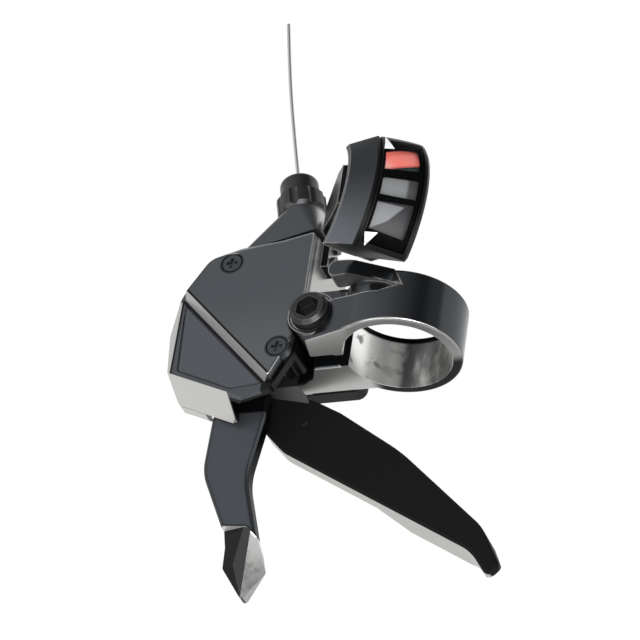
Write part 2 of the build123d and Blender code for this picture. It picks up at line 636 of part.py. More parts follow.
def flare_cut(grow):
    """What the sloping outboard wall leaves off above the parting line."""
    drop = DECK_Z - PARTING_Z
    profile = ((grow, 1), (grow, 0), (grow - FLARE, -drop), (-30, -drop), (-30, 1))
    return edge_cut(FLARE_A, FLARE_B, DECK_Z, profile)


def top_cover():
    """Flat cover with a bevelled outboard edge and sunk screw seats."""
    cover = slab(outline(COVER_CORNERS), DECK_Z, COVER_Z)
    cover = fillet(cover.edges().group_by(Axis.Z)[-1], COVER_EDGE)
    cover -= boss_room(CASING_GAP)
    cover -= slab(offset(outline(COVER_CORNERS), -COVER_LEDGE - CASING_GAP), DECK_Z, COVER_Z - COVER_SKIN)
    for place in COVER_SCREWS:
        cover += rod(place, SCREW_HEAD_R + 0.6, DECK_Z, COVER_Z)
    cover -= boss_room(CASING_GAP)
    cover -= edge_cut(BEVEL_A, BEVEL_B, COVER_Z, ((-30, 0), (BEVEL_RUN, 0), (0, -COVER_T), (-30, -COVER_T)))
    cover -= neck_form(CASING_GAP / 2)
    for place in COVER_SCREWS:
        cover -= rod(place, SCREW_HEAD_R + CASING_GAP, COVER_Z - SCREW_HEAD_H, COVER_Z)
        cover -= rod(place, SCREW_R + SEAT_FIT, DECK_Z, COVER_Z)
    return cover


def deck_panel():
    """Inset panel beside the cover."""
    return slab(offset(outline(PANEL_CORNERS), -PANEL_PLAY), DECK_Z - PANEL_T, DECK_Z - PANEL_PLAY)


def cover_screws():
    """Cross-head screws of the cover."""
    screws = []
    for x, y in COVER_SCREWS:
        head_z = COVER_Z - SCREW_HEAD_H
        screw = rod((x, y), SCREW_HEAD_R, head_z, COVER_Z)
        screw += rod((x, y), SCREW_R, COVER_Z - SCREW_LENGTH, head_z)
        for turn in (0, 90):
            slot = Pos(x, y, COVER_Z) * Rot(0, 0, turn) * Box(CROSS_L, CROSS_W, SCREW_HEAD_H)
            screw -= slot
        screws.append(screw)
    return Compound(children=screws)


def bottom_cover():
    """Pan that closes the underside."""
    low = BASE_Z - BOTTOM_DEPTH
    pan = slab(outline(BOTTOM_CORNERS), low, BASE_Z)
    pan = chamfer(pan.edges().group_by(Axis.Z)[0], BOTTOM_EDGE)
    pan -= slab(offset(outline(BOTTOM_CORNERS), -WALL), low + WALL, BASE_Z)
    for place in BOTTOM_SCREWS:
        pan += rod(place, PAN_SCREW_HEAD_R + WALL, low + WALL, BASE_Z)
        pan -= rod(place, PAN_SCREW_HEAD_R + CASING_GAP, low, low + WALL)
        pan -= rod(place, PAN_SCREW_R + SEAT_FIT, low, BASE_Z)
    return pan


def bottom_screws():
    """Screws that hold the pan to the base plate."""
    low = BASE_Z - BOTTOM_DEPTH
    screws = []
    for place in BOTTOM_SCREWS:
        head = rod(place, PAN_SCREW_HEAD_R, low + WALL - PAN_SCREW_HEAD_H, low + WALL)
        screws.append(head + rod(place, PAN_SCREW_R, low + WALL, BASE_TOP_Z - PLATE_GAP))
    return Compound(children=screws)


def main_axle():
    """Axle with a head under the base plate and a clip groove at the top."""
    axle = rod(AXLE, AXLE_R, BASE_Z, AXLE_TOP_Z + PLATE_GAP / 2)
    axle += rod(AXLE, AXLE_HEAD_R, BASE_Z - AXLE_HEAD_H, BASE_Z)
    axle -= ring(AXLE, AXLE_R, AXLE_R - CLIP_GROOVE, CLIP_Z, AXLE_TOP_Z)
    return axle


def axle_washer():
    """Washer over the notch plate."""
    return ring(AXLE, WASHER_R, AXLE_R + RUNNING_FIT, WASHER_Z, CLIP_Z)


def axle_clip():
    """Open retaining clip in the axle groove."""
    clip = ring(AXLE, CLIP_R, AXLE_R - CLIP_GROOVE + SEAT_FIT, CLIP_Z, AXLE_TOP_Z)
    return clip - Pos(AXLE_X + CLIP_R, AXLE_Y, CLIP_Z) * Box(2 * CLIP_R, AXLE_R, 4 * CLIP_T)


def cable_drum():
    """Grooved drum that the cable winds on."""
    drum = ring(AXLE, FLANGE_R, BUSHING_R + SEAT_FIT, DRUM_Z, DRUM_TOP_Z)
    drum -= ring(AXLE, FLANGE_R, GROOVE_FLOOR_R, CABLE_Z - GROOVE_W / 2, CABLE_Z + GROOVE_W / 2)
    return drum - rod(nipple_place(), NIPPLE_R + SEAT_FIT, CABLE_Z - NIPPLE_H / 2, DRUM_TOP_Z)


def drum_bushing():
    """Plain bearing pressed into the drum stack."""
    return ring(AXLE, BUSHING_R, AXLE_R + RUNNING_FIT, RATCHET_Z, NOTCH_TOP_Z)


def ratchet_plate():
    """Saw-toothed plate under the drum."""
    points = []
    for tooth in range(TOOTH_COUNT):
        angle = tooth * 360 / TOOTH_COUNT
        points.append(polar(AXLE, RATCHET_R, angle))
        points.append(polar(AXLE, RATCHET_R - TOOTH_DEPTH, angle))
    plate = slab(make_face(Polyline(*points, close=True)), RATCHET_Z, DRUM_Z)
    return plate - rod(AXLE, BUSHING_R + SEAT_FIT, RATCHET_Z, DRUM_Z)


def notch_plate():
    """Plate over the drum with a notch for each gear."""
    plate = ring(AXLE, NOTCH_PLATE_R, BUSHING_R + SEAT_FIT, DRUM_TOP_Z, NOTCH_TOP_Z)
    for gear in (1, 2):
        place = polar(AXLE, NOTCH_PLATE_R, PAWL_NOSE_ANGLE + gear * THUMB_STROKE)
        plate -= rod(place, NOTCH_R, DRUM_TOP_Z, NOTCH_TOP_Z)
    return plate


def nipple_place():
    """Plan place of the cable nipple on the drum."""
    return polar(AXLE, DRUM_R - NIPPLE_R / 2, CABLE_ANGLE - 90 - WOUND_ANGLE)


def cable_winding():
    """Part of the cable that lies in the drum groove."""
    section = Plane(origin=CABLE_FOOT, x_dir=CABLE_SIDE, z_dir=CABLE_DIR) * Circle(CABLE_R)
    wound = revolve(section, Axis((AXLE_X, AXLE_Y, 0), (0, 0, -1)), WOUND_ANGLE)
    return wound - rod(nipple_place(), NIPPLE_R, CABLE_Z - NIPPLE_H, CABLE_Z + NIPPLE_H)


def cable_nipple():
    """Cable end stop in its pocket in the drum."""
    return rod(nipple_place(), NIPPLE_R, CABLE_Z - NIPPLE_H / 2, CABLE_Z + NIPPLE_H / 2)


def thumb_plate():
    """Steel plate of the thumb lever, stepped down outside the base plate."""
    plan = outline(THUMB_PLATE_CORNERS) + Pos(*AXLE) * Circle(THUMB_HUB_R)
    blank = slab(plan, THUMB_Z - THUMB_DROP, THUMB_TOP_Z)
    step = THUMB_DROP / tan(radians(58))
    profile = (
        (-30, THUMB_Z), (-30, THUMB_TOP_Z), (7.6, THUMB_TOP_Z), (7.6 + step, THUMB_TOP_Z - THUMB_DROP),
        (30, THUMB_TOP_Z - THUMB_DROP), (30, THUMB_Z - THUMB_DROP), (6.6 + step, THUMB_Z - THUMB_DROP),
        (6.6, THUMB_Z),
    )
    plate = blank & side_solid(180, (0, 0), profile, 60)
    plate -= rod(AXLE, AXLE_R + RUNNING_FIT, THUMB_Z, THUMB_TOP_Z)
    return plate - rod(feed_pin_place(), FEED_PIN_R + SEAT_FIT, THUMB_Z, THUMB_TOP_Z)


def thumb_lever():
    """Moulded thumb lever with a deeper pad at its outer end."""
    profile = []
    for share, depth in THUMB_PROFILE:
        distance = thumb_distance(share)
        profile.append((distance, THUMB_TOP_AT_AXLE - THUMB_FALL * distance - depth))
    plan = lever_outline(THUMB_FOOT, THUMB_DIRECTION, thumb_distance, THUMB_OUTLINE)
    lever = slab(plan, THUMB_Z - THUMB_REACH, THUMB_Z)
    lever &= side_solid(THUMB_DIRECTION, THUMB_FOOT, profile, THUMB_REACH)
    rim = top_edges(lever).sort_by(Axis.Z)[:-1]
    return chamfer(rim, LEVER_EDGE) - thumb_plate()


def feed_pin_place():
    """Plan place of the feed pawl's pin at rest."""
    return polar(AXLE, FEED_PIN_ORBIT, FEED_PIN_ANGLE)


def feed_pawl_pin():
    """Stepped pin riveted in the thumb plate."""
    place = feed_pin_place()
    pin = rod(place, FEED_PIN_R, THUMB_Z, RATCHET_Z + FEED_PAWL_T + PLATE_GAP)
    return pin + rod(place, FEED_SHOULDER_R, THUMB_TOP_Z, RATCHET_Z + PLATE_GAP / 3)


def feed_pawl():
    """Pawl that turns the ratchet when the thumb lever is pushed."""
    low = RATCHET_Z + PLATE_GAP / 2
    place = feed_pin_place()
    tip = polar(AXLE, RATCHET_R + 0.35, FEED_PIN_ANGLE - 38)
    back = polar(AXLE, RATCHET_R + 1.9, FEED_PIN_ANGLE - 36)
    heel = polar(place, FEED_PAWL_HUB_R, FEED_PIN_ANGLE - 10)
    toe = polar(place, FEED_PAWL_HUB_R, FEED_PIN_ANGLE - 170)
    body = make_face(Polyline(heel, back, tip, toe, close=True)) + Pos(*place) * Circle(FEED_PAWL_HUB_R)
    return slab(body, low, low + FEED_PAWL_T) - rod(place, FEED_PIN_R + RUNNING_FIT, low, low + FEED_PAWL_T)


def trigger_top(distance):
    """Height of the trigger's top at a distance along it."""
    return TRIGGER_TOP_AT_PIN - TRIGGER_FALL * distance


def trigger_plate():
    """Steel plate of the trigger with the tab that lifts the stop pawl."""
    plan = outline(TRIGGER_PLATE_CORNERS) + Pos(*TRIGGER_PIN) * Circle(TRIGGER_HUB_R)
    tab = Pos(*TRIGGER_TAB) * Rectangle(TRIGGER_TAB_W, TRIGGER_TAB_T)
    tab_end = TRIGGER_TAB[0] + TRIGGER_TAB_W / 2
    arm = make_face(Polyline(
        (TRIGGER_PIN_X, TRIGGER_PIN_Y + TRIGGER_TAB_W), (tab_end, TRIGGER_TAB[1] + TRIGGER_TAB_T / 2),
        (tab_end, TRIGGER_TAB[1] - TRIGGER_TAB_T / 2), (TRIGGER_PIN_X, TRIGGER_PIN_Y - TRIGGER_HUB_R),
        close=True))
    plate = slab(plan + arm, TRIGGER_Z, TRIGGER_TOP_Z) + slab(tab, TRIGGER_Z, DRUM_TOP_Z + PAWL_T)
    head_top = TRIGGER_Z + TRIGGER_PIN_HEAD_H + SEAT_FIT
    plate -= rod(TRIGGER_PIN, TRIGGER_PIN_HEAD_R + CASING_GAP, TRIGGER_Z, head_top)
    return plate - rod(TRIGGER_PIN, TRIGGER_PIN_R + RUNNING_FIT, TRIGGER_Z, TRIGGER_TOP_Z)


def trigger_solid(stations, sunk):
    """Part of the trigger's moulded form over a plan outline, its top sunk by a depth."""
    top = PARTING_Z - PLATE_GAP
    flat = (TRIGGER_TOP_AT_PIN - top) / TRIGGER_FALL
    end = 2 * TRIGGER_REACH
    profile = (
        (TRIGGER_ROOT, top - sunk), (flat, top - sunk), (end, trigger_top(end) - sunk),
        (end, trigger_top(end) - TRIGGER_T), (flat, top - TRIGGER_T), (TRIGGER_ROOT, top - TRIGGER_T),
    )
    plan = lever_outline(TRIGGER_PIN, TRIGGER_DIRECTION, trigger_distance, stations)
    blank = slab(plan, PARTING_Z - TRIGGER_REACH, PARTING_Z)
    return blank & side_solid(TRIGGER_DIRECTION, TRIGGER_PIN, profile, TRIGGER_REACH)


def trigger_lever():
    """Moulded body of the trigger."""
    lever = trigger_solid(TRIGGER_OUTLINE, 0.0)
    share, side, _ = TIP_OUTLINE[0]
    joint_x = along(TRIGGER_PIN, TRIGGER_DIRECTION, trigger_distance(share), side)[0] + LEVER_EDGE
    rim = top_edges(lever).filter_by_position(Axis.X, joint_x, TRIGGER_RIM_X)
    return chamfer(rim, LEVER_EDGE) - trigger_plate()


def trigger_tip():
    """Bright faceted insert at the end of the trigger."""
    tip = trigger_solid(TIP_OUTLINE, TIP_STEP)
    for facet in TIP_FACETS:
        points = []
        for share, side, depth in facet:
            distance = trigger_distance(share)
            place = along(TRIGGER_PIN, TRIGGER_DIRECTION, distance, side)
            points.append(Vector(*place, trigger_top(distance) - TIP_STEP - depth))
        tip -= beyond(*points, Vector(0, 0, 1))
    return tip


def trigger_pin():
    """Rivet that the trigger turns on, hung from the deck boss."""
    pin = rod(TRIGGER_PIN, TRIGGER_PIN_R, TRIGGER_Z, DECK_Z - DECK_T - PLATE_GAP)
    return pin + rod(TRIGGER_PIN, TRIGGER_PIN_HEAD_R, TRIGGER_Z, TRIGGER_Z + TRIGGER_PIN_HEAD_H)


def stop_pawl_pin():
    """Stepped pin on the base plate that the stop pawl turns on."""
    pin = rod(PAWL_PIN, PAWL_PIN_R, BASE_Z, DRUM_TOP_Z + PAWL_T + PLATE_GAP)
    return pin + rod(PAWL_PIN, PAWL_SHOULDER_R, BASE_TOP_Z, DRUM_TOP_Z - PLATE_GAP / 3)


def stop_pawl():
    """Pawl that holds the drum at a gear, with the tail that the trigger lifts."""
    tail_y = TRIGGER_TAB[1] + TRIGGER_TAB_T / 2 + PAWL_NOSE_GAP
    tail_x = TRIGGER_TAB[0] - TRIGGER_TAB_W / 2
    tip = polar(AXLE, NOTCH_PLATE_R + PAWL_NOSE_GAP, PAWL_NOSE_ANGLE)
    nose = make_face(Polyline(
        (tip[0] - 0.5, tip[1] + 0.5), tip, (tip[0] + 2.4, PAWL_PIN_Y), (tip[0] - 1.6, PAWL_PIN_Y),
        close=True))
    arm = make_face(Polyline(
        (tail_x, tail_y), (tail_x, tail_y + PAWL_ARM_W), (PAWL_PIN_X, PAWL_PIN_Y + PAWL_HUB_R),
        (PAWL_PIN_X, PAWL_PIN_Y - PAWL_HUB_R), (tip[0], tail_y + PAWL_HEEL), close=True))
    body = nose + arm + Pos(*PAWL_PIN) * Circle(PAWL_HUB_R)
    pawl = slab(body, DRUM_TOP_Z, DRUM_TOP_Z + PAWL_T)
    return pawl - rod(PAWL_PIN, PAWL_PIN_R + RUNNING_FIT, DRUM_TOP_Z, DRUM_TOP_Z + PAWL_T)


def thumb_return_spring():
    """Spiral spring in the base plate's recess."""
    top = BASE_TOP_Z - PLATE_GAP / 4
    return spiral_spring(AXLE, AXLE_R + SPRING_BORE, SPRING_TURN, SPRING_WIRE, 2, top - SPRING_H, top)


def trigger_return_spring():
    """Spiral spring round the trigger boss."""
    low = PARTING_Z + PLATE_GAP
    inner = TRIGGER_BOSS_R + SPRING_PLAY
    return spiral_spring(TRIGGER_PIN, inner, FINE_SPRING_TURN, FINE_SPRING_WIRE, 2, low, low + SPRING_H)


def stop_pawl_spring():
    """Small spiral spring under the stop pawl."""
    top = DRUM_TOP_Z - PLATE_GAP
    inner = PAWL_SHOULDER_R + SPRING_PLAY
    return spiral_spring(PAWL_PIN, inner, FINE_SPRING_TURN, FINE_SPRING_WIRE, 2, top - PAWL_SPRING_H, top)


def adjuster_barrel():
    """Lobed adjuster with a domed nose and a seat for the cable casing."""
    knob_end = KNOB_GAP + KNOB_LENGTH
    nose_end = knob_end + NOSE_LENGTH
    knob = Pos(0, 0, KNOB_GAP) * Cylinder(KNOB_R, KNOB_LENGTH, align=LOW)
    knob = chamfer(knob.edges().filter_by(GeomType.CIRCLE), SCALLOP_R * 0.7)
    for lobe in range(KNOB_LOBES):
        x, y = polar((0, 0), KNOB_R + SCALLOP_R - SCALLOP_DEPTH, lobe * 360 / KNOB_LOBES)
        knob -= Pos(x, y, 0) * Cylinder(SCALLOP_R, knob_end + 1, align=LOW)
    nose = Cylinder(NOSE_R, nose_end, align=LOW)
    nose = fillet(nose.edges().group_by(Axis.Z)[-1], NOSE_R - CASING_SEAT_R - 0.3)
    barrel = knob + nose + Pos(0, 0, -STEM_LENGTH) * Cylinder(STEM_R, STEM_LENGTH + knob_end, align=LOW)
    barrel -= ring((0, 0), KNOB_R, STEM_R, 0, KNOB_GAP)
    barrel -= Pos(0, 0, nose_end) * Cylinder(CASING_SEAT_R, CASING_SEAT_DEPTH, align=HIGH)
    barrel -= Cylinder(WIRE_BORE_R, 4 * STEM_LENGTH)
    return NECK_FRAME * barrel


def cable_exit():
    """Distance along the cable line from the neck mouth to the barrel's end."""
    return KNOB_GAP + KNOB_LENGTH + NOSE_LENGTH


def inner_cable():
    """Straight run of the cable from the drum to the barrel's end."""
    return NECK_FRAME * Pos(0, 0, -CABLE_RUN) * Cylinder(CABLE_R, CABLE_RUN + cable_exit(), align=LOW)


def cable_tail():
    """Free end of the cable outside the barrel."""
    points = [Vector(0, side, cable_exit() + distance) for distance, side in TAIL_ROUTE]
    path_points = [NECK_FRAME.from_local_coords(Vector(p.Y, 0, p.Z)) for p in points]
    radii = []
    for before, here, after in zip(path_points, path_points[1:], path_points[2:]):
        turn = (here - before).get_angle(after - here)
        shorter = min((here - before).length, (after - here).length)
        radii.append(0.45 * shorter / tan(radians(turn) / 2))
    path = FilletPolyline(*path_points, radius=radii)
    start = path_points[1] - path_points[0]
    section = Plane(origin=path_points[0], z_dir=start) * Circle(CABLE_R)
    return sweep(section, path=path)


def end_cut(angles, side):
    """Everything past an end face of the display pod."""
    back = arch_point(angles[0], POD_BACK, POD_BACK_R)
    ridge = arch_point(angles[1], POD_RIDGE, POD_R)
    front = arch_point(angles[2], POD_FRONT, POD_R)
    return beyond(back, ridge, front, POD_SIDE * side)


def indicator_case():
    """Display pod with its arm down to the casing."""
    case = arch((
        (POD_FRONT, POD_FRONT_IN_R), (POD_FRONT, POD_R - POD_EDGE), (POD_FRONT + POD_EDGE, POD_R),
        (POD_RIDGE, POD_R), (POD_BACK, POD_BACK_R), (POD_BACK, POD_BACK_IN_R), (POD_RIDGE, POD_IN_R),
        (-POD_RIDGE / 5, POD_IN_R)))
    case -= end_cut(POD_TOP_END, 1)
    case -= end_cut(POD_LOW_END, -1)
    case -= strip(CHANNEL_HALF, CHANNEL_R, POD_R + 1, CHANNEL_ENDS, 0.0)
    seam = POD_RIDGE - POD_SEAM_W
    seam_floor = POD_R - POD_SEAM_DEPTH
    case -= arch((
        (seam, seam_floor), (seam - POD_SEAM_W, seam_floor),
        (seam - POD_SEAM_W, POD_R + 1), (seam, POD_R + 1)))
    case -= Plane.YZ * Cylinder(BORE_R + BAR_ROOM, CUT_SIZE)
    rail_w = 2 * (RAIL_X1 + CASING_GAP)
    rail_room = Box(rail_w, CUT_SIZE, CUT_SIZE, align=(Align.CENTER, Align.MAX, Align.MAX))
    case -= Pos(0, RAIL_Y1 + CASING_GAP, RAIL_TOP_Z + CASING_GAP) * rail_room
    root = POD_CENTRE + POD_AXIS * POD_BACK + POD_NORMAL * POD_IN_R
    foot_y = SIDE_Y - ARM_FLANGE_T
    side = Plane.YZ * make_face(Polyline(
        (root.Y - 2.0, root.Z - 3.0), (root.Y + 1.6, root.Z - 1.6), (SIDE_Y - 1.2, ARM_FLANGE_TOP_Z + 4.0),
        (SIDE_Y, ARM_FLANGE_TOP_Z), (SIDE_Y, PARTING_Z), (foot_y, PARTING_Z), (foot_y, ARM_FLANGE_TOP_Z),
        close=True))
    front = Plane.XZ * make_face(Polyline(
        (ARM_X0, PARTING_Z), (ARM_X1, PARTING_Z), (ARM_X1, root.Z - 7), (ARM_X1 - 3, root.Z),
        (ARM_X0, root.Z),
        (ARM_X0 + 2, root.Z - 7), (ARM_X1 - 4.5, ARM_FLANGE_TOP_Z), (ARM_X0, ARM_FLANGE_TOP_Z), close=True))
    case += extrude(side, 2 * ARM_X1, both=True) & extrude(front, 2 * ARM_X1, both=True)
    for x in POD_SCREW_XS:
        hole = Cylinder(POD_SCREW_R + SEAT_FIT, 2 * ARM_FLANGE_T)
        case -= Plane(origin=(x, SIDE_Y, POD_SCREW_Z), z_dir=(0, -1, 0)) * hole
    return case - neck_form(SEAT_FIT)


def indicator_screws():
    """Screws that hold the display arm to the casing wall."""
    screws = []
    for x in POD_SCREW_XS:
        frame = Plane(origin=(x, SIDE_Y - ARM_FLANGE_T, POD_SCREW_Z), z_dir=(0, -1, 0))
        shank = Cylinder(POD_SCREW_R, POD_SCREW_LENGTH + ARM_FLANGE_T, align=HIGH)
        screws.append(frame * (Cylinder(POD_SCREW_HEAD_R, POD_SCREW_HEAD_H, align=LOW) + shank))
    return Compound(children=screws)


def indicator_dial():
    """Curved dial plate behind the needle."""
    return strip(CHANNEL_HALF - PANEL_PLAY, CHANNEL_R, DIAL_OUT_R, CHANNEL_ENDS, END_PLAY)


def indicator_bezel():
    """Frame with one window for each gear."""
    low = BEZEL_OUT_R - BEZEL_T
    bezel = strip(CHANNEL_HALF - PANEL_PLAY, low, BEZEL_OUT_R, CHANNEL_ENDS, END_PLAY)
    for ends in WINDOWS:
        bezel -= strip(WINDOW_HALF, low - 1, POD_R, ends, 0.0)
    return bezel


def indicator_lens():
    """Clear curved window over the bezel."""
    return strip(CHANNEL_HALF - PANEL_PLAY, BEZEL_OUT_R, POD_R, CHANNEL_ENDS, END_PLAY)


def indicator_needle():
    """Marker that slides under the windows."""
    return strip(WINDOW_HALF + NEEDLE_EDGE, NEEDLE_OUT_R - NEEDLE_T, NEEDLE_OUT_R, NEEDLE_ENDS, 0.0)


NODES = (
    clamp_bracket, clamp_bolt, upper_housing, lower_housing, top_cover, deck_panel, cover_screws,
    bottom_cover, bottom_screws, main_axle, axle_washer, axle_clip, cable_drum, drum_bushing,
    ratchet_plate, notch_plate, cable_winding, cable_nipple, thumb_plate, thumb_lever, feed_pawl_pin,
    feed_pawl, thumb_return_spring, trigger_plate, trigger_lever, trigger_tip, trigger_pin,
    trigger_return_spring, stop_pawl_pin, stop_pawl, stop_pawl_spring, adjuster_barrel,
    inner_cable, cable_tail, indicator_case, indicator_dial, indicator_bezel, indicator_lens,
    indicator_needle, indicator_screws,
)

os.makedirs("parts", exist_ok=True)
for node in NODES:
    export_step(node(), f"parts/{node.__name__}.step")
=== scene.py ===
from math import cos, radians, sin

import bpy
from mathutils import Matrix, Vector


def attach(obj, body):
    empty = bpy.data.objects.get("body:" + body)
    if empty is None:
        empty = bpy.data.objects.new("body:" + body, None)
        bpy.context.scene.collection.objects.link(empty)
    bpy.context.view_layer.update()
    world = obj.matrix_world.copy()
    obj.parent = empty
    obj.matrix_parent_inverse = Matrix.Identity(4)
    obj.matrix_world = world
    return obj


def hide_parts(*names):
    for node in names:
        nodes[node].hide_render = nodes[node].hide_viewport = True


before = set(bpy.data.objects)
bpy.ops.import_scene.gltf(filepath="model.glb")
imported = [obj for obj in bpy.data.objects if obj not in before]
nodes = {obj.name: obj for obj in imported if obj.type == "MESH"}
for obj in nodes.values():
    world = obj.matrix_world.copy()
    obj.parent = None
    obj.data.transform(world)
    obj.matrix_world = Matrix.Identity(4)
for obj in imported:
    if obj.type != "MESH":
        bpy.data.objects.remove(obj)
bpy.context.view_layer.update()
MM = 0.001

SLATE = (0.07, 0.076, 0.085)
# Grey for painted highlights and painted reflections of the floor on faces turned towards the light
PAINTED_HIGHLIGHT = (0.48, 0.475, 0.462)
BLACK = (0.004, 0.004, 0.0043)
WHITE = (0.85, 0.85, 0.85)


# Material helpers

def live(sockets):
    """The sockets that a node uses in its present mode."""
    return [socket for socket in sockets if socket.enabled]


class Finish:
    """A principled material whose inputs are set plainly or painted in layers over masks."""

    def __init__(self, name, colour=BLACK, metallic=0.0, roughness=0.5, **sockets):
        self.material = bpy.data.materials.new(name)
        self.material.use_nodes = True
        self.tree = self.material.node_tree
        self.shader = self.tree.nodes["Principled BSDF"]
        self.shader.inputs["Base Color"].default_value = (*colour, 1.0)
        self.shader.inputs["Metallic"].default_value = metallic
        self.shader.inputs["Roughness"].default_value = roughness
        for socket, value in sockets.items():
            self.shader.inputs[socket.replace("_", " ")].default_value = value
        self.source = self.tree.nodes.new("ShaderNodeTexCoord")

    def link(self, source, target):
        self.tree.links.new(source, target)

    def math(self, operation, first, second=0.0):
        """One arithmetic step on sockets or plain numbers."""
        step = self.tree.nodes.new("ShaderNodeMath")
        step.operation = operation
        for socket, value in zip(step.inputs, (first, second)):
            if isinstance(value, (int, float)):
                socket.default_value = value
            else:
                self.link(value, socket)
        return step.outputs[0]

    def weigh(self, first, first_share, second, second_share):
        """Weighted sum of two sockets."""
        part = self.math("MULTIPLY", first, first_share)
        rest = self.math("MULTIPLY", second, second_share)
        return self.math("ADD", part, rest)

    def length(self, first, second):
        """Length of a flat vector from its two parts."""
        return self.math("SQRT", self.weigh(first, first, second, second))

    def split(self, vector):
        """The three parts of a vector."""
        parts = self.tree.nodes.new("ShaderNodeSeparateXYZ")
        self.link(vector, parts.inputs[0])
        return parts.outputs[0], parts.outputs[1], parts.outputs[2]

    def place(self):
        """Place on the part in mm, in the shared frame at rest."""
        return [self.math("MULTIPLY", part, 1 / MM) for part in self.split(self.source.outputs["Object"])]

    def facing(self):
        """Direction that the surface faces."""
        return self.split(self.source.outputs["Normal"])

    def ramp(self, value, low, high):
        """Smooth step from 0 at low to 1 at high; low may be the larger."""
        step = self.tree.nodes.new("ShaderNodeMapRange")
        step.interpolation_type = "SMOOTHSTEP"
        step.inputs["From Min"].default_value = min(low, high)
        step.inputs["From Max"].default_value = max(low, high)
        if low > high:
            step.inputs["To Min"].default_value = 1.0
            step.inputs["To Max"].default_value = 0.0
        self.link(value, step.inputs["Value"])
        return step.outputs["Result"]

    def every(self, *masks):
        """Where all the masks hold."""
        result = masks[0]
        for mask in masks[1:]:
            result = self.math("MULTIPLY", result, mask)
        return result

    def either(self, *masks):
        """Where any of the masks holds."""
        result = masks[0]
        for mask in masks[1:]:
            result = self.math("MAXIMUM", result, mask)
        return result

    def polygon(self, across, along, corners, soft):
        """Inside of a convex outline, its corners given counter-clockwise."""
        sides = []
        for first, last in zip(corners, corners[1:] + corners[:1]):
            run = (Vector(last) - Vector(first)).normalized()
            left = self.math("MULTIPLY", self.math("SUBTRACT", along, first[1]), run.x)
            right = self.math("MULTIPLY", self.math("SUBTRACT", across, first[0]), run.y)
            sides.append(self.ramp(self.math("SUBTRACT", left, right), -soft, soft))
        return self.every(*sides)

    def noise(self, scale, detail=2.0, stretch=(1.0, 1.0, 1.0)):
        """Cloudy pattern, stretched along the axes."""
        mapping = self.tree.nodes.new("ShaderNodeMapping")
        mapping.inputs["Scale"].default_value = stretch
        self.link(self.source.outputs["Object"], mapping.inputs["Vector"])
        texture = self.tree.nodes.new("ShaderNodeTexNoise")
        texture.inputs["Scale"].default_value = scale
        texture.inputs["Detail"].default_value = detail
        self.link(mapping.outputs[0], texture.inputs["Vector"])
        return texture.outputs["Fac"]

    def edges(self, radius):
        """Sharp edges, found where a rounded normal leaves the plain one; radius in mm."""
        rounded = self.tree.nodes.new("ShaderNodeBevel")
        rounded.samples = 6
        rounded.inputs["Radius"].default_value = radius * MM
        plain = self.tree.nodes.new("ShaderNodeNewGeometry")
        match = self.tree.nodes.new("ShaderNodeVectorMath")
        match.operation = "DOT_PRODUCT"
        self.link(rounded.outputs[0], match.inputs[0])
        self.link(plain.outputs["Normal"], match.inputs[1])
        return self.ramp(match.outputs["Value"], 0.99, 0.94)

    def paint(self, socket, *layers):
        """Lays layers of (mask, value) over the plain value of a shader input."""
        target = self.shader.inputs[socket]
        current = target.default_value
        if target.type == "RGBA":
            current = tuple(current)[:3]
        for mask, value in layers:
            current = self.blend(mask, current, value)
        self.link(current, target)

    def blend(self, mask, first, second):
        """Goes from first to second with a mask; colours or numbers, plain or linked."""
        ends = (first, second)
        coloured = any(isinstance(end, tuple) or getattr(end, "type", "") == "RGBA" for end in ends)
        step = self.tree.nodes.new("ShaderNodeMix")
        step.data_type = "RGBA" if coloured else "FLOAT"
        share, *ports = live(step.inputs)
        self.link(mask, share)
        for port, value in zip(ports, ends):
            if isinstance(value, tuple):
                port.default_value = (*value, 1.0)
            elif isinstance(value, (int, float)):
                port.default_value = value
            else:
                self.link(value, port)
        return live(step.outputs)[0]

    def grain(self, scale, height, strength, detail=2.0):
        """Fine cloudy relief in the surface, its height in mm."""
        step = self.tree.nodes.new("ShaderNodeBump")
        step.inputs["Strength"].default_value = strength
        step.inputs["Distance"].default_value = height * MM
        self.link(self.noise(scale, detail), step.inputs["Height"])
        self.link(step.outputs["Normal"], self.shader.inputs["Normal"])


def dress(finish, *names):
    """Gives a finish to CAD nodes."""
    for name in names:
        slots = nodes[name].data.materials
        slots.clear()
        slots.append(finish.material)


# Casing, cover and panel

DECK_Z = 6.0
MOUTH_Y = 33.0           # end of the upper part of the lever opening
FRONT_Y = 46.3           # strip of deck in front of the panel
BEVEL_A = Vector((8.9, 46.2))      # ends of the bevel's foot
BEVEL_B = Vector((-13.5, 25.3))
BEVEL_RUN = 1.3
FOOT_LINE_W = 0.75
BROW_LINE_W = 0.45
LINE_SOFT = 0.08


def slate_paint(name):
    """Slate metallic paint with a fine grain."""
    finish = Finish(name, SLATE, metallic=0.85, roughness=0.36, Coat_Weight=0.1, Coat_Roughness=0.2)
    finish.grain(9000.0, 0.02, 0.15)
    return finish


def bevel_strip(finish, x, y, near, far):
    """Strip along the bevel, between two distances ahead of its foot."""
    run = (BEVEL_B - BEVEL_A).normalized()
    ahead = Vector((run.y, -run.x))
    corners = (BEVEL_A + ahead * near, BEVEL_A + ahead * far, BEVEL_B + ahead * far, BEVEL_B + ahead * near)
    return finish.polygon(x, y, corners, LINE_SOFT)


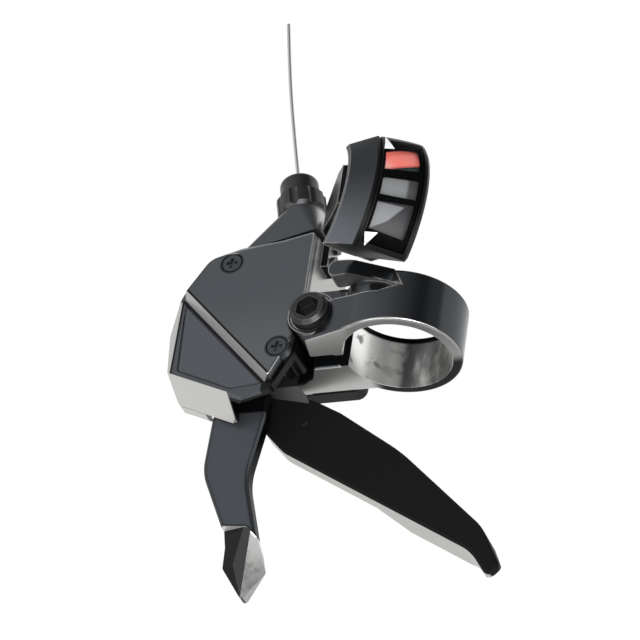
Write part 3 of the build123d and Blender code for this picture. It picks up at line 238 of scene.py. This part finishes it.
def casing_finish():
    """Slate paint with a painted reflection on the outboard wall, painted highlights on the clamp side and
    along the deck's front edge, and painted shade in the lever opening, at the outboard end beside the
    clamp and in strips at the bevel's foot and in front of the panel.
    """
    finish = slate_paint("casing")
    x, y, z = finish.place()
    to_x, to_y, to_z = finish.facing()
    # Painted reflection on the outboard-facing wall beyond the lever opening
    outboard_reflection = finish.every(finish.ramp(to_x, -0.45, -0.75), finish.ramp(y, MOUTH_Y + 0.2, MOUTH_Y + 0.4),
                         finish.ramp(x, 0.0, -2.0))
    # Painted shade at the outboard end beside the clamp
    corner_shade = finish.every(finish.ramp(y, 26.2, 25.8), finish.ramp(x, 2.0, 0.0))
    # Painted highlight on the wall that faces the clamp
    side = finish.every(finish.ramp(to_y, -0.6, -0.9), finish.ramp(x, 4.0, 6.0), finish.ramp(x, 31.0, 30.0))
    # Painted shade in the lever opening
    opening = finish.every(finish.ramp(y, MOUTH_Y + 0.2, MOUTH_Y), finish.ramp(z, 5.1, 4.9),
                           finish.ramp(x, 6.0, 4.0))
    on_deck = finish.ramp(z, DECK_Z - 0.2, DECK_Z - 0.1)
    deck = finish.every(on_deck, finish.ramp(to_z, 0.8, 0.9), finish.ramp(x, 9.5, 8.5))
    # Painted shade in strips at the bevel's foot and in front of the panel
    foot = bevel_strip(finish, x, y, 0.0, FOOT_LINE_W)
    line = finish.every(deck, finish.either(foot, finish.ramp(y, FRONT_Y, FRONT_Y + 0.15)))
    # Painted highlight along the deck's front edge
    rim_highlight = finish.every(on_deck, finish.ramp(y, FRONT_Y + 0.45, FRONT_Y + 0.6), finish.ramp(x, 9.0, 8.0))
    finish.paint("Base Color", (finish.either(opening, line, corner_shade), BLACK), (rim_highlight, (0.5, 0.5, 0.49)),
                 (finish.either(outboard_reflection, side), PAINTED_HIGHLIGHT))
    return finish


def cover_finish():
    """Slate paint with a painted highlight on the bevel and on edges towards the neck and the clamp,
    painted shade on its other edges and in a strip along the top of the bevel, and a painted sheen towards
    the outboard end.
    """
    finish = slate_paint("cover")
    x, y, _ = finish.place()
    to_x, _, to_z = finish.facing()
    # Painted highlight on the slanted faces of the bevel that face outboard
    slanted = finish.every(finish.ramp(to_z, 0.96, 0.9), finish.ramp(to_z, 0.15, 0.3))
    bevel = finish.every(slanted, finish.ramp(to_x, -0.1, -0.25))
    # Painted shade along sharp edges, with a painted highlight on those towards the neck and the clamp
    edges = finish.edges(0.9)
    clamp_side = finish.every(finish.ramp(y, 20.5, 19.5), finish.ramp(x, 4.0, 6.0))
    hem_highlight = finish.every(edges, finish.either(finish.ramp(x, 17.9, 18.3), clamp_side))
    # Painted sheen, lighter towards the outboard end
    low = finish.ramp(x, 10.0, -8.0)
    # Painted shade in a strip along the top of the bevel
    brow_shade = finish.every(bevel_strip(finish, x, y, -BEVEL_RUN - BROW_LINE_W, -BEVEL_RUN),
                        finish.ramp(to_z, 0.96, 0.99))
    cloud = finish.ramp(finish.noise(60.0, 1.0), 0.35, 0.75)
    finish.paint("Base Color", (cloud, (0.076, 0.082, 0.091)), (low, (0.1, 0.106, 0.114)),
                 (finish.either(brow_shade, edges), BLACK), (bevel, (0.38, 0.38, 0.38)), (hem_highlight, PAINTED_HIGHLIGHT))
    return finish


dress(casing_finish(), "upper_housing", "lower_housing")
dress(cover_finish(), "top_cover")
panel = Finish("panel", (0.074, 0.08, 0.09), metallic=0.75, roughness=0.38, Coat_Weight=0.1)
# Painted shade along the panel's edges
panel.paint("Base Color", (panel.edges(0.6), BLACK))
dress(panel, "deck_panel")
pan = Finish("pan", (0.008, 0.008, 0.0085), roughness=0.45, Specular_IOR_Level=0.12)
dress(pan, "bottom_cover")


# Clamp

BORE_R = 11.1
BAND_R = 13.2
RING_Y = 9.0             # where the ring's face gives way to the lugs


def clamp_finish():
    """Dark gloss outside, with painted reflections on the outboard faces of the lugs and the ring, painted
    highlights along edges, and painted shade low on the ring and at the far end of the bore; bare metal in
    the bore.
    """
    finish = Finish("alloy", (0.055, 0.059, 0.064), metallic=0.95, roughness=0.18)
    x, y, z = finish.place()
    to_x, _, _ = finish.facing()
    radius = finish.length(y, z)
    bore = finish.ramp(radius, BORE_R + 0.12, BORE_R + 0.06)
    # Painted shade at the far end of the bore
    far_rim_shade = finish.every(bore, finish.ramp(x, 4.4, 5.0))
    # Painted reflection on the faces that face outboard
    outboard = finish.ramp(to_x, -0.8, -0.95)
    # Painted reflection on the ring's outboard face, with painted shade on its low part
    ring = finish.every(finish.ramp(to_x, -0.3, -0.5), finish.ramp(y, RING_Y, RING_Y - 3.0))
    ring_low_shade = finish.every(ring, finish.ramp(z, -1.0, -4.0))
    middle = finish.every(finish.ramp(x, -5.2, -4.8), finish.ramp(x, 5.2, 4.8))
    off_ring = finish.either(finish.ramp(radius, BAND_R, BAND_R + 0.1),
                             finish.ramp(y, RING_Y, RING_Y + 1.0), middle)
    # Painted highlights along sharp edges, kept off the ring's outer faces
    edge_glints = finish.every(finish.edges(0.35), off_ring)
    streaks = finish.ramp(finish.noise(260.0, 5.0, (0.35, 1.0, 1.0)), 0.42, 0.6)
    worn = finish.blend(streaks, (0.24, 0.24, 0.235), (0.72, 0.715, 0.7))
    bright = finish.every(bore, finish.ramp(y, 2.5, 4.0), finish.ramp(finish.noise(300.0, 4.0), 0.36, 0.46))
    finish.paint("Base Color", (outboard, PAINTED_HIGHLIGHT), (ring, (0.3, 0.3, 0.295)), (ring_low_shade, BLACK),
                 (edge_glints, PAINTED_HIGHLIGHT), (bore, worn), (bright, (0.95, 0.945, 0.93)), (far_rim_shade, BLACK))
    finish.paint("Roughness", (finish.either(outboard, bore), 0.32))
    finish.grain(1400.0, 0.06, 0.2, detail=5.0)
    return finish


dress(clamp_finish(), "clamp_bracket")
oxide = Finish("oxide", (0.05, 0.052, 0.056), metallic=0.8, roughness=0.32)
dress(oxide, "cover_screws", "bottom_screws", "indicator_screws")
bolt = Finish("bolt", (0.018, 0.018, 0.019), metallic=0.6, roughness=0.3)
# Painted highlight along the bolt's edges
bolt.paint("Base Color", (bolt.edges(0.4), (0.06, 0.06, 0.06)))
dress(bolt, "clamp_bolt")


# Mechanism

steel = Finish("steel", (0.55, 0.55, 0.56), metallic=1.0, roughness=0.3)
dress(steel, "main_axle", "axle_washer", "axle_clip", "ratchet_plate", "notch_plate", "feed_pawl_pin",
      "feed_pawl", "thumb_return_spring", "trigger_pin", "trigger_return_spring", "stop_pawl_pin",
      "stop_pawl", "stop_pawl_spring", "cable_winding", "cable_nipple", "inner_cable", "cable_tail")
phosphate = Finish("phosphate", (0.05, 0.05, 0.05), metallic=0.8, roughness=0.45)
dress(phosphate, "thumb_plate", "trigger_plate")
brass = Finish("brass", (0.72, 0.56, 0.3), metallic=1.0, roughness=0.3)
dress(brass, "drum_bushing")
resin = Finish("resin", (0.06, 0.06, 0.063), roughness=0.5)
dress(resin, "cable_drum")


# Levers

def thumb_finish():
    """Black moulding with a painted reflection, grey and metallic, on the wall along its outer side."""
    finish = Finish("thumb", BLACK, roughness=0.5, Specular_IOR_Level=0.06)
    to_x, to_y, to_z = finish.facing()
    # Painted reflection on the outer side wall
    edge = finish.every(finish.ramp(to_z, 0.35, 0.15), finish.ramp(to_x, -0.2, -0.5),
                        finish.ramp(to_y, -0.3, 0.1))
    finish.paint("Base Color", (edge, (0.42, 0.415, 0.4)))
    finish.paint("Metallic", (edge, 0.9))
    finish.paint("Roughness", (edge, 0.35))
    finish.grain(5000.0, 0.03, 0.2)
    return finish


def trigger_finish():
    """Slate top, black at the root, painted shade on the sides and along edges, and a painted reflection on
    the end against the tip.
    """
    finish = Finish("trigger", (0.055, 0.06, 0.067), metallic=0.7, roughness=0.4, Specular_IOR_Level=0.08)
    x, _, _ = finish.place()
    to_x, _, to_z = finish.facing()
    # Painted shade on the side walls
    wall = finish.ramp(to_z, 0.5, 0.3)
    root = finish.ramp(x, -15.2, -14.8)
    # Painted reflection on the end wall that faces outboard
    end = finish.every(wall, finish.ramp(to_x, -0.5, -0.7), finish.ramp(x, -36.0, -37.0))
    # Painted shade along the edges too
    finish.paint("Base Color", (finish.either(wall, root, finish.edges(1.0)), BLACK), (end, PAINTED_HIGHLIGHT))
    finish.grain(7000.0, 0.02, 0.15)
    return finish


def tip_finish():
    """Polished insert: a painted highlight on one flank, darker and mottled towards its outboard end, a
    dark ridge and painted shade on the other flank.
    """
    finish = Finish("tip", (0.06, 0.06, 0.06), metallic=1.0, roughness=0.3)
    x, _, _ = finish.place()
    _, to_y, _ = finish.facing()
    # Painted shade on the flank facing +Y and a painted highlight on the flank facing −Y
    painted_shade_flank = finish.ramp(to_y, 0.12, 0.25)
    painted_highlight_flank = finish.ramp(to_y, -0.2, -0.4)
    low = finish.every(painted_highlight_flank, finish.ramp(x, -41.0, -49.0))
    cloud = finish.every(low, finish.ramp(finish.noise(700.0, 4.0), 0.4, 0.7))
    finish.paint("Base Color", (painted_shade_flank, (0.02, 0.02, 0.02)), (painted_highlight_flank, (0.8, 0.8, 0.79)),
                 (low, (0.42, 0.42, 0.415)), (cloud, (0.3, 0.3, 0.295)))
    return finish


dress(thumb_finish(), "thumb_lever")
dress(trigger_finish(), "trigger_lever")
dress(tip_finish(), "trigger_tip")
knob = Finish("knob", (0.008, 0.008, 0.0085), roughness=0.3, Specular_IOR_Level=0.4)
dress(knob, "adjuster_barrel")


# Display pod, painted in its own coordinates:
# angle round the arch in degrees, mm across it and mm from its axis

POD_X = 21.8
POD_ORBIT = 11.55        # arch axis from the bar's axis
POD_BEARING = radians(48.2)
POD_CENTRE = (POD_X, POD_ORBIT * cos(POD_BEARING), POD_ORBIT * sin(POD_BEARING))
POD_TILT = radians(44.0)
POD_R = 19.0
POD_RIDGE = 5.85         # where the back facet starts, across the arch
POD_BACK = 9.9
POD_BACK_R = 14.5
POD_SLOPE = (POD_R - POD_BACK_R) / (POD_BACK - POD_RIDGE)
PRINT_DEPTH = 0.4        # marks are painted only this near to the outer face


def pod_place(finish):
    """Angle, offset across and radius on the display arch."""
    pairs = zip(finish.place(), POD_CENTRE)
    side, y, z = [finish.math("SUBTRACT", part, centre) for part, centre in pairs]
    across = finish.weigh(y, cos(POD_TILT), z, sin(POD_TILT))
    up = finish.weigh(z, cos(POD_TILT), y, -sin(POD_TILT))
    angle = finish.math("DEGREES", finish.math("ARCTAN2", side, up))
    return angle, across, finish.length(side, up)


def pod_skin(finish, radius):
    """The outer face of the arch."""
    depth = finish.math("SUBTRACT", POD_R, radius)
    return finish.ramp(depth, PRINT_DEPTH, PRINT_DEPTH - 0.1)


def pod_marks(finish, angle, across):
    """The two printed triangles at the ends of the display."""
    rise = finish.polygon(angle, across, ((32.5, 4.0), (17.0, 4.6), (20.6, 2.2)), 0.1)
    fall = finish.polygon(angle, across, ((-41.8, 4.64), (-49.8, 3.6), (-39.7, 2.0)), 0.1)
    return finish.either(rise, fall)


def pod_finish():
    """Black gloss with a slate back facet that lightens towards its low end."""
    finish = Finish("pod", BLACK, roughness=0.3, Specular_IOR_Level=0.12)
    _, y, z = finish.place()
    _, to_y, _ = finish.facing()
    angle, across, radius = pod_place(finish)
    drop = finish.math("MULTIPLY", finish.math("SUBTRACT", across, POD_RIDGE), POD_SLOPE)
    depth = finish.math("SUBTRACT", finish.math("SUBTRACT", POD_R, drop), radius)
    facet = finish.every(finish.ramp(across, POD_RIDGE + 0.05, POD_RIDGE + 0.15),
                         finish.ramp(depth, 0.3, 0.15))
    # Painted sheen on the back facet, lighter towards the low end
    low = finish.every(facet, finish.ramp(angle, 5.0, -60.0))
    mark = finish.every(pod_marks(finish, angle, across), pod_skin(finish, radius))
    # Painted reflection on the arm's foot that faces −Y
    flange_reflection = finish.every(finish.ramp(to_y, -0.8, -0.95), finish.ramp(z, 3.5, 3.4),
                          finish.ramp(y, 16.5, 16.7))
    # Painted highlights along sharp edges, away from the outer face
    rim_highlights = finish.every(finish.edges(0.3), finish.ramp(radius, 17.0, 16.0))
    finish.paint("Base Color", (facet, (0.028, 0.03, 0.034)), (low, (0.095, 0.101, 0.11)),
                 (rim_highlights, (0.3, 0.3, 0.3)), (flange_reflection, PAINTED_HIGHLIGHT), (mark, WHITE))
    finish.paint("Metallic", (finish.either(facet, flange_reflection), 0.7))
    finish.paint("Roughness", (facet, 0.4))
    return finish


def dial_finish():
    """Grey scale behind the windows, teal behind the marker."""
    finish = Finish("dial", (0.24, 0.25, 0.255), roughness=0.4)
    angle, across, _ = pod_place(finish)
    upper = finish.ramp(finish.math("ADD", angle, finish.math("MULTIPLY", across, 0.83)), 2.7, 3.7)
    lower = finish.ramp(finish.math("ADD", angle, finish.math("MULTIPLY", across, 0.68)), -15.5, -16.5)
    right = finish.ramp(across, -1.8, -2.6)
    lit = finish.polygon(angle, across, ((-19.6, 3.6), (-39.5, 3.6), (-30.8, 0.4), (-17.2, -2.3)), 0.25)
    finish.paint("Base Color", (right, (0.08, 0.08, 0.08)), (lower, (0.03, 0.031, 0.033)),
                 (finish.every(lower, lit), (0.21, 0.215, 0.225)), (upper, (0.03, 0.075, 0.08)))
    return finish


def needle_finish():
    """Red marker, paler along one edge."""
    finish = Finish("needle", (1.0, 0.22, 0.18), roughness=0.35)
    angle, across, _ = pod_place(finish)
    pale = finish.every(finish.ramp(across, 0.5, 3.5), finish.ramp(angle, 18.0, 4.0))
    finish.paint("Base Color", (pale, (1.0, 0.5, 0.45)))
    return finish


def lens_finish():
    """Smoked window that carries most of the two printed marks, its inner face left clear."""
    finish = Finish("lens", (0.0, 0.0, 0.0), roughness=0.15, Specular_IOR_Level=0.15, Alpha=0.0)
    angle, across, radius = pod_place(finish)
    outer = pod_skin(finish, radius)
    mark = finish.every(pod_marks(finish, angle, across), outer)
    finish.paint("Base Color", (mark, WHITE))
    finish.paint("Alpha", (outer, 0.1), (mark, 1.0))
    return finish


dress(pod_finish(), "indicator_case")
mask = Finish("mask", (0.003, 0.003, 0.0033), roughness=0.6, Specular_IOR_Level=0.0)
dress(mask, "indicator_bezel")
dress(dial_finish(), "indicator_dial")
dress(needle_finish(), "indicator_needle")
dress(lens_finish(), "indicator_lens")


# Free end of the shift wire: the route of the solid, as one smooth spline

CABLE_ANGLE = radians(14.0)
NECK = Vector((30.3, 24.9, 1.5))
ALONG = Vector((cos(CABLE_ANGLE), sin(CABLE_ANGLE), 0.0))
ASIDE = Vector((-sin(CABLE_ANGLE), cos(CABLE_ANGLE), 0.0))
BARREL_END = 10.0
WIRE_D = 0.8
TAIL_ROUTE = ((0.0, 0.0), (14.5, -0.3), (31.0, -1.0), (45.5, -2.2))

route = [(NECK + ALONG * (BARREL_END + along) + ASIDE * aside) * MM for along, aside in TAIL_ROUTE]
line = bpy.data.curves.new("shift_wire", "CURVE")
line.dimensions = "3D"
line.bevel_depth = WIRE_D / 2 * MM
line.bevel_resolution = 4
line.use_fill_caps = True
spline = line.splines.new("NURBS")
spline.points.add(len(route) - 1)
for point, place in zip(spline.points, route):
    point.co = (*place, 1.0)
spline.order_u = 3
spline.use_endpoint_u = True
spline.resolution_u = 12
wire = bpy.data.objects.new("shift_wire", line)
bpy.context.collection.objects.link(wire)
line.materials.append(steel.material)
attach(wire, "wire")
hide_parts("cable_tail")


# Floor and light

FLOOR_Z = -0.06
FLOOR_HALF = 4.0
SQUARE = ((-1, -1), (1, -1), (1, 1), (-1, 1))
floor_mesh = bpy.data.meshes.new("floor")
floor_corners = [(FLOOR_HALF * x, FLOOR_HALF * y, FLOOR_Z) for x, y in SQUARE]
floor_mesh.from_pydata(floor_corners, [], [(0, 1, 2, 3)])
floor = bpy.data.objects.new("floor", floor_mesh)
bpy.context.collection.objects.link(floor)

# White for the camera, mirrors and glass; a plain pale sheet for all other light
PAPER_WHITE = 0.93       # share of plain white where the floor is seen
paper = Finish("paper", (0.9, 0.9, 0.9), roughness=1.0)
glow = paper.tree.nodes.new("ShaderNodeEmission")
glow.inputs["Color"].default_value = (1.0, 1.0, 1.0, 1.0)
rays = paper.tree.nodes.new("ShaderNodeLightPath").outputs
seen = paper.either(rays["Is Camera Ray"], rays["Is Glossy Ray"], rays["Is Transmission Ray"])
both = paper.tree.nodes.new("ShaderNodeMixShader")
paper.link(paper.math("MULTIPLY", seen, PAPER_WHITE), both.inputs[0])
paper.link(paper.shader.outputs[0], both.inputs[1])
paper.link(glow.outputs[0], both.inputs[2])
paper.link(both.outputs[0], paper.tree.nodes["Material Output"].inputs["Surface"])
floor_mesh.materials.append(paper.material)

# Sky: brightest along SKY_AXIS, forward and up, and darkest just behind the middle;
# a level is a share of the way from the back to the front, and a brightness
SKY_AXIS = (0.0, 0.8, 0.6)
SKY_BACK = 0.3
SKY_FRONT = 1.1
SKY_LEVELS = ((0.28, 0.3), (0.36, 0.1), (0.44, 0.1), (0.55, 0.28), (0.7, 0.5), (0.86, 0.9))

world = bpy.data.worlds.new("studio")
bpy.context.scene.world = world
world.use_nodes = True
sky = world.node_tree
sky_light = sky.nodes["Background"]
sky_light.inputs["Strength"].default_value = 1.0
sky_rays = sky.nodes.new("ShaderNodeLightPath").outputs
direction = sky.nodes.new("ShaderNodeTexCoord").outputs["Generated"]
lean = sky.nodes.new("ShaderNodeVectorMath")
lean.operation = "DOT_PRODUCT"
lean.inputs[1].default_value = SKY_AXIS
sky.links.new(direction, lean.inputs[0])
spread = sky.nodes.new("ShaderNodeMapRange")
spread.inputs["From Min"].default_value = -1.0
sky.links.new(lean.outputs["Value"], spread.inputs["Value"])
fade = sky.nodes.new("ShaderNodeValToRGB")
stops = fade.color_ramp.elements
stops[0].color = (SKY_BACK, SKY_BACK, SKY_BACK, 1.0)
stops[1].color = (SKY_FRONT, SKY_FRONT, SKY_FRONT, 1.0)
for position, level in SKY_LEVELS:
    stops.new(position).color = (level, level, level, 1.0)
sky.links.new(spread.outputs["Result"], fade.inputs[0])
choice = sky.nodes.new("ShaderNodeMix")
choice.data_type = "RGBA"
to_camera, lit_sky, white_sky = live(choice.inputs)
sky.links.new(sky_rays["Is Camera Ray"], to_camera)
sky.links.new(fade.outputs[0], lit_sky)
white_sky.default_value = (1.0, 1.0, 1.0, 1.0)
sky.links.new(live(choice.outputs)[0], sky_light.inputs["Color"])


def lamp(name, place, size, watts):
    """Soft square lamp aimed at the object."""
    light = bpy.data.lights.new(name, "AREA")
    light.size = size
    light.energy = watts
    holder = bpy.data.objects.new(name, light)
    bpy.context.collection.objects.link(holder)
    away = Vector(place)
    holder.location = away
    holder.rotation_euler = away.to_track_quat("Z", "Y").to_euler()


lamp("key", (-0.9, 0.35, 0.55), 0.8, 5.0)
lamp("front", (-0.75, -0.5, 0.85), 0.8, 17.0)
lamp("fill", (-0.5, -0.9, 0.4), 0.7, 3.0)


# Camera

CAMERA_AT = Vector((-402.28, -238.34, 541.72)) * MM
LOOK_AT = Vector((0.01, 15.05, 6.63)) * MM
CAMERA_UP = Vector((0.81855, -0.09324, 0.56682))
back = (CAMERA_AT - LOOK_AT).normalized()
right = CAMERA_UP.cross(back).normalized()
up = back.cross(right)
camera_data = bpy.data.cameras.new("camera")
camera_data.sensor_width = 36.0
camera_data.lens = 200.3
camera_data.clip_start = 0.01
camera = bpy.data.objects.new("camera", camera_data)
bpy.context.collection.objects.link(camera)
turn = Matrix((right, up, back)).transposed().to_4x4()
camera.matrix_world = Matrix.Translation(CAMERA_AT) @ turn
bpy.context.scene.camera = camera
bpy.context.scene.view_settings.view_transform = "Standard"
